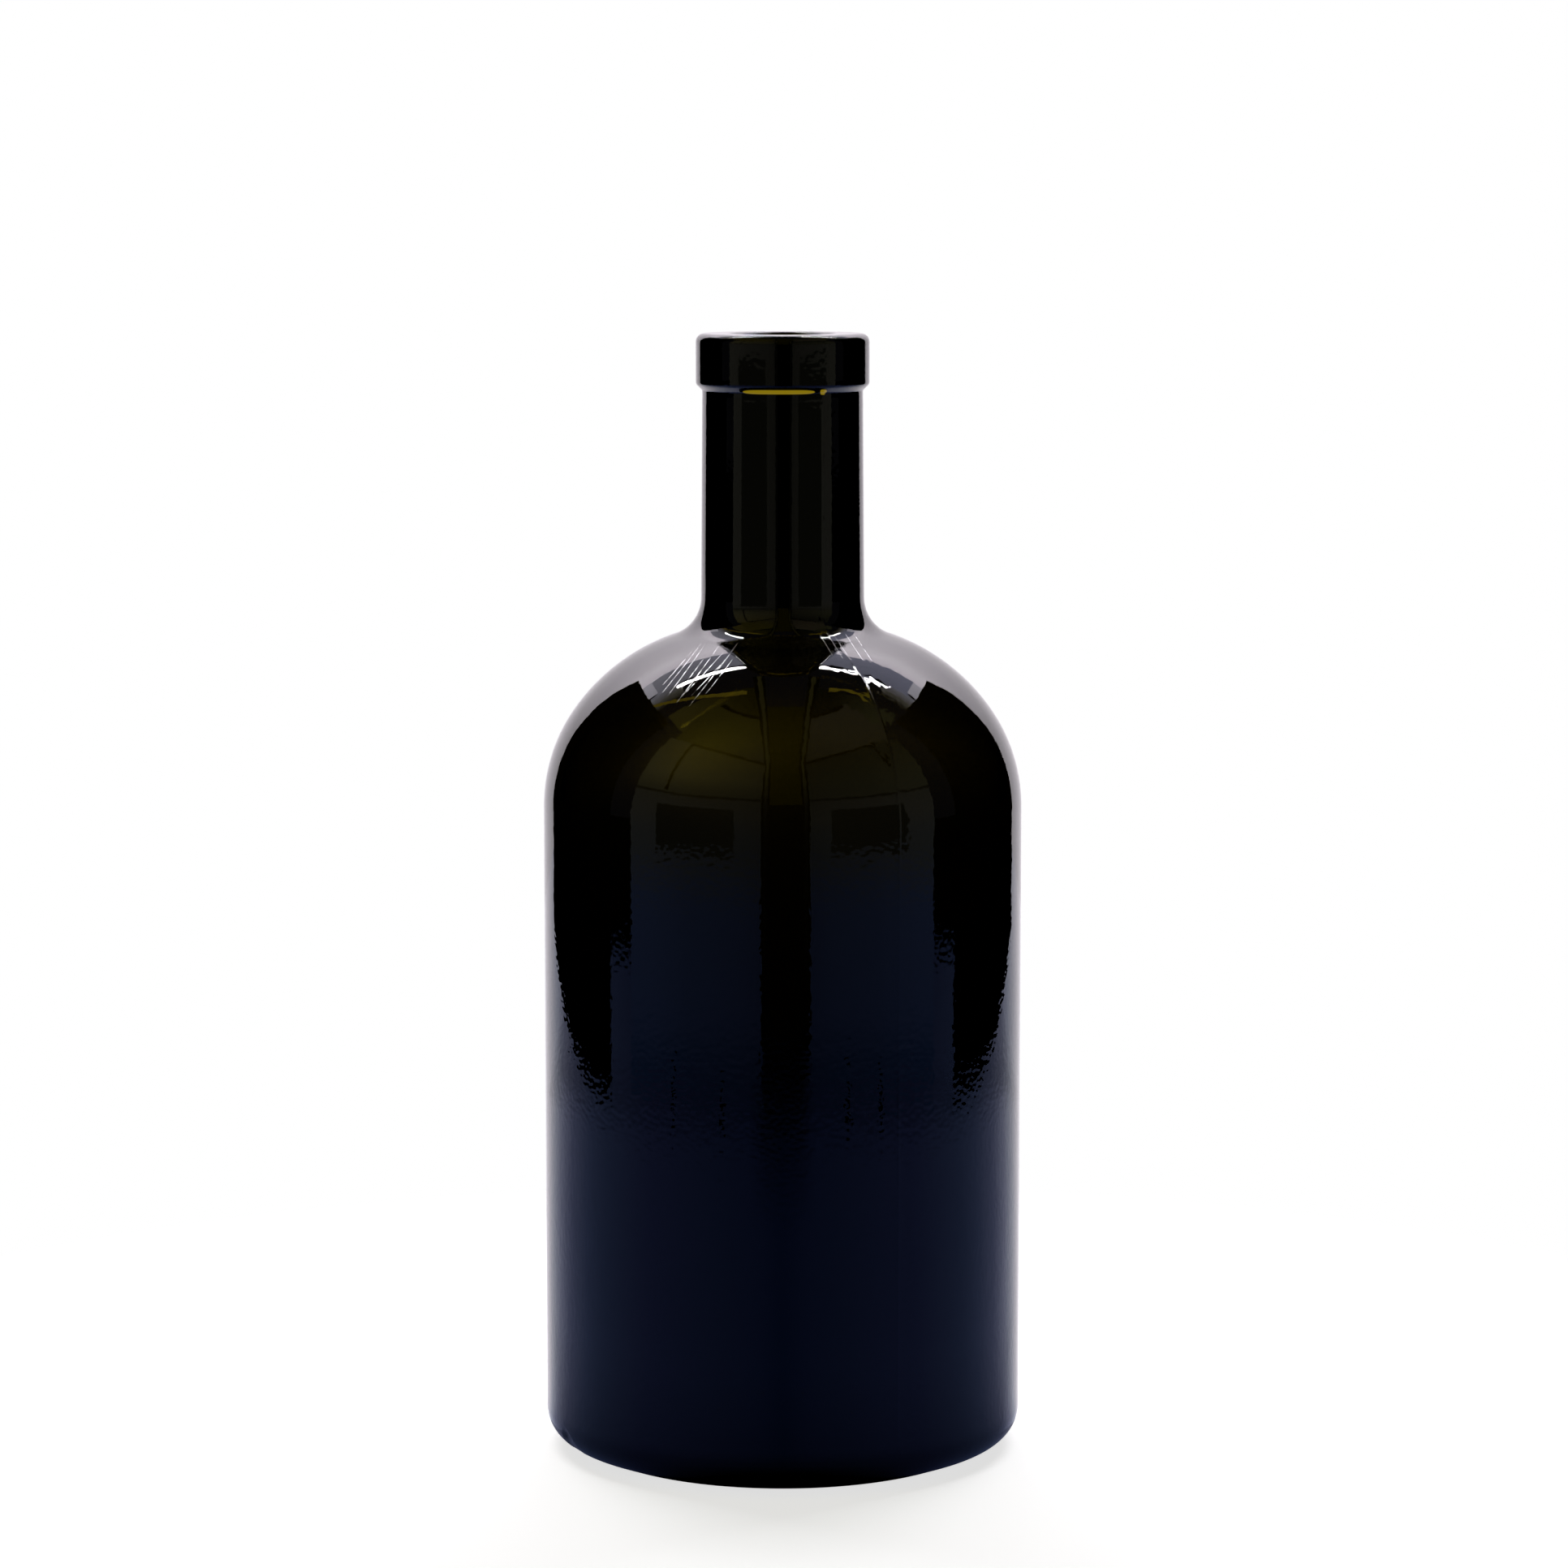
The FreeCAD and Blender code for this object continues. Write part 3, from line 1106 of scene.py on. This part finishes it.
@dataclass(frozen=True)
class TableFinish:
    """A table that is white to the eye; in reflections it carries painted light and shade, slate blue where the front
    lies in shade, white where it is lit behind, and a painted shadow at the bottle's foot.

    Reaches are distances from the bottle's axis in metres, and bearings are degrees from the front.
    """

    name: str = "table_top"
    # Painted light and shade by bearing: slate blue in front, where the table lies in shade, to white behind, where it
    # is lit.
    lit_and_shaded_tones: Stops = (
        (0.0, (0.018, 0.04, 0.14, 1.0)),
        (0.06, (0.035, 0.058, 0.18, 1.0)),
        (0.14, (0.045, 0.07, 0.20, 1.0)),
        (0.34, (0.075, 0.10, 0.28, 1.0)),
        (0.49, (0.115, 0.165, 0.37, 1.0)),
        (0.56, (0.16, 0.215, 0.44, 1.0)),
        (0.64, (0.28, 0.32, 0.56, 1.0)),
        (0.705, (0.50, 0.53, 0.77, 1.0)),
        (0.76, (0.74, 0.77, 0.94, 1.0)),
        (0.81, (0.96, 0.93, 1.04, 1.0)),
        (0.86, (1.05, 1.0, 1.08, 1.0)),
    )
    swing_reach: float = 0.05
    swing_rest: float = 0.2
    # Painted shade by reach: a painted shadow at the bottle's foot, and a darker band farther off.
    shades: tuple[Point, ...] = (
        (0.047, 0.0),
        (0.055, 0.32),
        (0.075, 0.62),
        (0.10, 0.8),
        (0.15, 1.0),
        (0.38, 1.0),
        (0.44, 0.6),
        (0.50, 0.75),
        (0.66, 0.7),
        (0.70, 0.0),
    )
    aside_bearings: Point = (8.0, 48.0)
    aside_gain: float = 0.011
    gap_reaches: Point = (0.28, 0.48)
    gap_bearings: Point = (15.0, 8.0)
    gap_depth: float = 0.9
    back_bearings: Point = (80.0, 140.0)
    back_near: Point = (0.0465, 0.050)
    back_far: Point = (0.30, 0.25)
    sweep_start: Point = (0.15, 0.35)
    paint: float = 0.8
    glow: float = 0.7
    shadow_reaches: Point = (0.12, 0.24)

    def _turn(self, nodes: Nodes, value: Socket, bearings: Point) -> Socket:
        """Return a socket that runs from nought at the first bearing to one at the second."""
        return nodes.span(value, math.radians(bearings[0]), math.radians(bearings[1]))

    def _swung(self, nodes: Nodes, reach: Socket, bearing: Socket) -> Socket:
        """Turn the bearing towards the back close to the bottle, so that the painted light of the back comes round its
        foot.

        Args:
            nodes: The material's nodes.
            reach: The distance from the axis.
            bearing: The angle from the front.

        Returns:
            A socket with the turned angle.
        """
        close = nodes.math("SUBTRACT", nodes.math("DIVIDE", self.swing_reach, reach), self.swing_rest)
        half = nodes.math("SINE", nodes.math("MULTIPLY", bearing, 0.5))
        return nodes.math("MULTIPLY_ADD", nodes.math("MAXIMUM", close, 0.0), half, bearing)

    def _front_shade(self, nodes: Nodes, reach: Socket, bearing: Socket) -> Socket:
        """Add the painted shade of the table in front of the bottle.

        Args:
            nodes: The material's nodes.
            reach: The distance from the axis.
            bearing: The angle from the front.

        Returns:
            A socket of painted shade: a painted shadow at the bottle's foot, and painted shade in the gap between the
                cloth walls.
        """
        aside = self._turn(nodes, bearing, self.aside_bearings)
        stops = tuple((place, grey(value)) for place, value in self.shades)
        shade = nodes.ramp(nodes.math("MULTIPLY_ADD", aside, self.aside_gain, reach), stops)
        in_gap = self._turn(nodes, bearing, self.gap_bearings)
        gap = nodes.math("MULTIPLY", nodes.span(reach, *self.gap_reaches), in_gap)
        return nodes.math("MULTIPLY", shade, nodes.math("MULTIPLY_ADD", gap, -self.gap_depth, 1.0))

    def _back_shade(self, nodes: Nodes, reach: Socket, swung: Socket, depth: Socket) -> Socket:
        """Add the painted light of the table beside and behind the bottle.

        Args:
            nodes: The material's nodes.
            reach: The distance from the axis.
            swung: The angle from the front, turned near the foot.
            depth: The distance behind the axis.

        Returns:
            A socket that is one where the table is painted as lit from behind.
        """
        off_foot = nodes.span(reach, *self.back_near)
        beside = nodes.math("MULTIPLY", self._turn(nodes, swung, self.back_bearings), off_foot)
        beside = nodes.math("MULTIPLY", beside, nodes.span(reach, *self.back_far))
        return nodes.math("MAXIMUM", beside, nodes.span(depth, *self.sweep_start))

    def _seen(self, nodes: Nodes, reach: Socket) -> bpy.types.Node:
        """Add what the eye sees: white paint that takes the bottle's shadow, and clear white farther off.

        Args:
            nodes: The material's nodes.
            reach: The distance from the axis.

        Returns:
            The shader.
        """
        paint = nodes.add("ShaderNodeBsdfDiffuse", Color=grey(self.paint))
        lift = nodes.add("ShaderNodeEmission", Color=grey(1.0), Strength=self.glow)
        shaded = nodes.add("ShaderNodeAddShader")
        nodes.put(shaded, 0, paint.outputs[0])
        nodes.put(shaded, 1, lift.outputs[0])
        white = nodes.add("ShaderNodeEmission", Color=grey(1.0), Strength=1.0)
        return nodes.blend(nodes.span(reach, *self.shadow_reaches), shaded, white)

    def material(self) -> bpy.types.Material:
        """Build the table's material.

        Returns:
            The material, which gives reflections and clear glass another table than the eye.
        """
        made, nodes = new_material(self.name)
        place = nodes.add("ShaderNodeTexCoord").outputs["Object"]
        split = nodes.add("ShaderNodeSeparateXYZ", Vector=place).outputs
        length = nodes.add("ShaderNodeVectorMath")
        length.operation = "LENGTH"
        nodes.put(length, 0, place)
        reach = length.outputs["Value"]
        ahead = nodes.math("MULTIPLY", split["Y"], -1.0)
        bearing = nodes.math("ARCTAN2", nodes.math("ABSOLUTE", split["X"]), ahead)
        swung = self._swung(nodes, reach, bearing)
        tone = nodes.ramp(nodes.math("DIVIDE", swung, math.pi), self.lit_and_shaded_tones)
        front = self._front_shade(nodes, reach, bearing)
        shade = nodes.math("MAXIMUM", front, self._back_shade(nodes, reach, swung, split["Y"]))
        # Reflections see the painted light and shade; the eye sees the plain white table.
        reflected = nodes.add("ShaderNodeEmission", Color=tone, Strength=shade)
        ray = nodes.add("ShaderNodeLightPath").outputs
        mirrored = nodes.math("MAXIMUM", ray["Is Glossy Ray"], ray["Is Transmission Ray"])
        nodes.surface(nodes.blend(mirrored, self._seen(nodes, reach), reflected))
        return made


@dataclass
class Table:
    """The table top that the bottle stands on."""

    half: float = 4.0
    finish: TableFinish = TableFinish()

    def build(self) -> bpy.types.Object:
        """Build the table.

        Returns:
            The table's object.
        """
        half = self.half
        mesh = bpy.data.meshes.new("table")
        mesh.from_pydata([(-half, -half, 0), (half, -half, 0), (half, half, 0), (-half, half, 0)], [], [(0, 1, 2, 3)])
        mesh.materials.append(self.finish.material())
        floor = new_object("table", mesh)
        return floor


# ---------------------------------------------------------------- cards in their places


@dataclass
class MiddleCards:
    """The cards on the middle line: the backdrop, the overhead panel and the dark slit in front."""

    backdrop_half: float = 0.74
    panel_half: float = 0.68
    panel_front: float = 0.40
    slit_distance: float = 0.50
    slit_bearings: Point = (-12.0, 14.0)
    slit_height: float = 1.2
    olive_half: float = 0.07
    olive_path: tuple[Point, ...] = ((-0.490, 0.235), (-0.490, 0.530), (-0.200, 0.660), (-0.120, 0.662))

    def cards(self) -> list[Card]:
        """Lay out the cards.

        Returns:
            The cards.
        """
        back, top = (ROOM_BACK, ROOM_BACK), (ROOM_TOP, ROOM_TOP)
        sides = (-self.panel_half, self.panel_half)
        olive = (SLIT_MIDDLE - self.olive_half, SLIT_MIDDLE + self.olive_half)
        return [
            Card.flat("backdrop", SWEEP_WHITE, (-self.backdrop_half, self.backdrop_half), back, (0.0, ROOM_TOP)),
            Card.flat("panel", PANEL_SLATE, sides, (self.panel_front, ROOM_BACK), top),
            Card.curved("slit", FLAG_BLACK, self.slit_distance, self.slit_bearings, (0.0, self.slit_height)),
            Card.band("slit_olive", SLIT_OLIVE, olive, self.olive_path),
        ]


@dataclass
class WarmStrips:
    """Two narrow strips of warm light under the ceiling, one over each side."""

    height: float = 0.628
    half_width: float = 0.012
    left_span: Point = (0.104, 0.46)
    left_depth: float = -0.008
    left_drift: float = 0.175
    left_length: float = 0.347
    left_bend: float = 1.5
    left_step: float = 0.03
    right_span: Point = (0.130, 0.27)
    right_depth: float = 0.020
    right_drift: float = 0.025
    right_length: float = 0.140
    right_step: float = 0.02

    def _left(self, off: float) -> Edge:
        """Make one edge of the left strip, which drifts back as it runs out.

        Args:
            off: How far behind the strip's middle the edge runs.

        Returns:
            The edge, by distance left of the middle line.
        """

        def edge(x: float) -> Spot:
            """Return the edge's point at a distance."""
            share = max(0.0, (x - self.left_span[0]) / self.left_length)
            return -x, self.left_depth + self.left_drift * share**self.left_bend + off, self.height

        return edge

    def _right(self, off: float) -> Edge:
        """Make one edge of the right strip, which bows back in its middle.

        Args:
            off: How far behind the strip's middle the edge runs.

        Returns:
            The edge, by distance right of the middle line.
        """

        def edge(x: float) -> Spot:
            """Return the edge's point at a distance."""
            bow = math.sin(math.pi * (x - self.right_span[0]) / self.right_length)
            return x, self.right_depth + self.right_drift * bow + off, self.height

        return edge

    def cards(self) -> list[Card]:
        """Lay out the strips.

        Returns:
            The strips' cards.
        """
        off = self.half_width
        left, right = (self._left(-off), self._left(off)), (self._right(-off), self._right(off))
        return [
            Card.bent("warm_left", WARM_STRIP, self.left_span, *left, self.left_step),
            Card.bent("warm_right", WARM_STRIP, self.right_span, *right, self.right_step),
        ]


@dataclass
class WallFeet:
    """Short dark strips on the table, where the cloth walls are held down."""

    bearings: tuple[float, ...] = (-50.7, -27.3, 29.7, 45.2, 53.4)
    half_turn: float = 0.8
    near: Point = (0.405, 0.0015)
    far: Point = (0.447, 0.0025)

    def cards(self) -> list[Card]:
        """Lay out the strips.

        Returns:
            The strips' cards.
        """
        made = []
        for number, bearing in enumerate(self.bearings):
            width = (bearing - self.half_turn, bearing + self.half_turn)
            made.append(Card.bent(f"wall_foot_{number}", FLAG_BLACK, width, ring(*self.near), ring(*self.far)))
        return made


@dataclass
class Wing:
    """The cards on one side: a flag, a cloth wall with its roof and ceiling, and the lines between them.

    Sizes are metres, and bearings are degrees from the front; both are laid out to the wing's own side.
    """

    side: Side
    hems: tuple[tuple[float, float, GlowFinish], ...] = (
        (0.058, 0.066, FLAG_BLACK),
        (0.066, 0.078, HEM_LIGHT),
        (0.078, 0.087, FLAG_BLACK),
    )
    hem_path: tuple[Point, ...] = ((-0.444, 0.030), (-0.444, 0.485), (-0.180, 0.622), (0.100, 0.634))
    border_sides: Point = (0.66, 0.80)
    border_front: float = 0.44
    spill_sides: Point = (0.50, 0.80)
    spill_depths: Point = (0.20, 0.42)
    panel_gap: float = 0.005
    flag_distance: float = 0.43
    flag_height: float = 0.62
    flag_depths: Point = (-0.03, 0.54)
    wall_distance: float = 0.45
    wall_start: float = 11.0
    wall_skew: float = 1.3
    wall_end: float = 73.5
    wall_height: float = 0.452
    wall_rise: float = 0.13
    wall_rise_rate: float = 1.6
    window_distance: float = 0.445
    window_bearings: Point = (22.0, 59.5)
    window_heights: Point = (0.065, 0.193)
    roof_end: float = 70.0
    roof_radius: float = 0.20
    roof_height: float = 0.63
    roof_start: Point = (10.0, 22.0)
    roof_rate: float = 0.9
    ceiling_outer: float = 0.42
    ceiling_depths: Point = (-0.20, 0.02)
    ceiling_height: float = 0.64
    eaves_end: float = 57.0
    eaves_heights: Point = (-0.022, 0.008)
    eaves_ahead: float = 0.005
    ridge_end: float = 66.0
    ridge_width: Point = (-0.012, 0.004)
    ridge_drop: float = 0.004
    corner_distance: float = 0.444
    corner_bearings: Point = (55.8, 57.4)
    corner_heights: Point = (0.26, 0.56)

    def _out(self, span: Point) -> Point:
        """Return a span of distances or bearings laid out to this side."""
        return span[0] * self.side.value, span[1] * self.side.value

    def _cloth_top(self, above: float = 0.0, ahead: float = 0.0) -> Edge:
        """Make an edge along the top of the cloth wall, which rises away from the middle.

        Args:
            above: How far above the wall's top it runs.
            ahead: How far in front of the wall it runs.

        Returns:
            The edge, by bearing from the front in degrees.
        """

        def edge(bearing: float) -> Spot:
            """Return the edge's point at a bearing."""
            rise = self.wall_height + self.wall_rise * math.sin(math.radians(self.wall_rise_rate * abs(bearing)))
            return ring(self.wall_distance - ahead, rise + above)(bearing)

        return edge

    def _roof_top(self, bearing: float) -> Spot:
        """Find a point of the roof's upper edge.

        Args:
            bearing: The bearing of the wall under it, in degrees from the front.

        Returns:
            The point.
        """
        low, high = self.roof_start
        turned = math.copysign(high + (abs(bearing) - low) * self.roof_rate, bearing)
        return ring(self.roof_radius, self.roof_height)(turned)

    def _ridge(self, off: float) -> Edge:
        """Make one edge of the dark line along the roof's upper edge.

        Args:
            off: How far outside the roof's edge it runs.

        Returns:
            The edge, by bearing of the wall in degrees from the front.
        """
        grow = 1 + off / self.roof_radius

        def edge(bearing: float) -> Spot:
            """Return the edge's point at a bearing."""
            x, y, z = self._roof_top(bearing)
            return x * grow, y * grow, z - self.ridge_drop

        return edge

    def _hem_cards(self) -> list[Card]:
        """Lay out the wall's hem beside the slit.

        Returns:
            The hem's cards.
        """
        made = []
        for number, (inner, outer, finish) in enumerate(self.hems):
            sides = tuple(SLIT_MIDDLE + reach for reach in self._out((inner, outer)))
            made.append(Card.band(f"hem_{number}_{self.side.name.lower()}", finish, sides, self.hem_path))
        return made

    def _far_cards(self) -> list[Card]:
        """Lay out the panel's border, the lamp's spill and the flag.

        Returns:
            The cards behind the bottle.
        """
        end = self.side.name.lower()
        low, high = ROOM_TOP - self.panel_gap, ROOM_TOP + self.panel_gap
        flag = self._out((self.flag_distance, self.flag_distance))
        back = (self.border_front, ROOM_BACK)
        return [
            Card.flat(f"panel_border_{end}", PANEL_EDGE, self._out(self.border_sides), back, (low, low)),
            Card.flat(f"spill_{end}", LAMP_SPILL, self._out(self.spill_sides), self.spill_depths, (high, high)),
            Card.flat(f"flag_{end}", FLAG_BLACK, flag, self.flag_depths, (0.0, self.flag_height)),
        ]

    def _near_cards(self) -> list[Card]:
        """Lay out the cloth wall, its window, roof and ceiling, and the dark lines between them.

        Returns:
            The cards in front of the bottle.
        """
        x, end = self.side.value, self.side.name.lower()
        start = self.wall_start * x + self.wall_skew
        window, corner = self._out(self.window_bearings), self._out(self.corner_bearings)
        ceiling = (SLIT_MIDDLE + self.hems[-1][1] * x, self.ceiling_outer * x)
        ceiling_heights = (self.ceiling_height, self.ceiling_height)
        eaves = [self._cloth_top(above, self.eaves_ahead) for above in self.eaves_heights]
        ridge = [self._ridge(off) for off in self.ridge_width]
        foot, top = ring(self.wall_distance, 0.0), self._cloth_top()
        return [
            Card.bent(f"wall_{end}", CLOTHS[self.side], (start, self.wall_end * x), foot, top),
            Card.curved(f"window_{end}", CLOTH_WINDOW, self.window_distance, window, self.window_heights),
            Card.bent(f"roof_{end}", ROOFS[self.side], (start, self.roof_end * x), top, self._roof_top),
            Card.flat(f"ceiling_{end}", CEILINGS[self.side], ceiling, self.ceiling_depths, ceiling_heights),
            Card.bent(f"eaves_{end}", FLAG_BLACK, (start, self.eaves_end * x), *eaves),
            Card.bent(f"ridge_{end}", FLAG_BLACK, (start, self.ridge_end * x), *ridge),
            Card.curved(f"corner_{end}", FLAG_BLACK, self.corner_distance, corner, self.corner_heights),
        ]

    def cards(self) -> list[Card]:
        """Return every card of this side."""
        return self._hem_cards() + self._far_cards() + self._near_cards()


# ---------------------------------------------------------------- studio


@dataclass
class StripLamp:
    """A strip lamp over the back of the table."""

    side: Side
    length: float = 0.38
    width: float = 0.042
    glow: float = 45.0
    across: float = 0.31
    back: float = 0.33
    height: float = 0.95

    def build(self) -> bpy.types.Object:
        """Hang the lamp.

        Returns:
            The lamp's object.
        """
        light = bpy.data.lights.new(f"strip_{self.side.name.lower()}", "AREA")
        light.shape = "RECTANGLE"
        light.size = self.length
        light.size_y = self.width
        light.energy = self.glow * math.pi * light.size * light.size_y
        lamp = new_object(light.name, light)
        lamp.location = (self.across * self.side.value, self.back, self.height)
        return lamp


@dataclass
class Studio:
    """The table, cards, lamps, dim room and camera round the bottle."""

    room: RGBA = (0.02, 0.02, 0.025, 1.0)
    lens_length: float = 111.82
    sensor_width: float = 36.0
    clip_end: float = 50.0
    camera_place: Spot = (0.00026, -0.9202, 0.2404)
    camera_tilt: float = 7.0

    def build_world(self) -> None:
        """Make the world white to the eye and a dim room in reflections."""
        world = bpy.data.worlds.new("studio_room")
        world.use_nodes = True
        nodes = Nodes(world.node_tree)
        ray = nodes.add("ShaderNodeLightPath")
        white = nodes.add("ShaderNodeBackground", Color=grey(1.0), Strength=1.0)
        room = nodes.add("ShaderNodeBackground", Color=self.room, Strength=1.0)
        seen = nodes.blend(ray.outputs["Is Camera Ray"], room, white)
        nodes.add("ShaderNodeOutputWorld", Surface=seen.outputs[0])
        bpy.context.scene.world = world

    def build_camera(self) -> bpy.types.Object:
        """Set up the camera in front of the bottle.

        Returns:
            The camera's object.
        """
        lens = bpy.data.cameras.new("camera")
        lens.lens = self.lens_length
        lens.sensor_width = self.sensor_width
        lens.clip_end = self.clip_end
        camera = new_object("camera", lens)
        camera.location = self.camera_place
        camera.rotation_euler = (math.radians(90.0 - self.camera_tilt), 0.0, 0.0)
        bpy.context.scene.camera = camera
        return camera

    def build(self) -> list[bpy.types.Object]:
        """Build the whole studio.

        Returns:
            The objects of the table, the cards and the lamps.
        """
        self.build_world()
        self.build_camera()
        made = [Table().build()]
        cards = MiddleCards().cards() + WarmStrips().cards() + WallFeet().cards()
        for side in Side:
            cards += Wing(side).cards()
        made += [card.build() for card in cards]
        return made + [StripLamp(side).build() for side in Side]


def corners(bounds: tuple[Vector, Vector]) -> list[list[float]]:
    """Return a box's two corners as plain lists."""
    return [[float(value) for value in corner] for corner in bounds]


def main() -> None:
    """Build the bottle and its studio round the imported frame."""
    logging.basicConfig(level=logging.INFO)
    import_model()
    bottle = Bottle()
    for piece in (bottle.build(), Scuffs(bottle.outside()).build()):
        log.info("%s: %d faces", piece.name, len(piece.data.polygons))
    studio = Studio().build()
    log.info("studio: %d objects", len(studio))
    bpy.context.scene.view_settings.view_transform = "Standard"


if __name__ == "__main__":
    main()
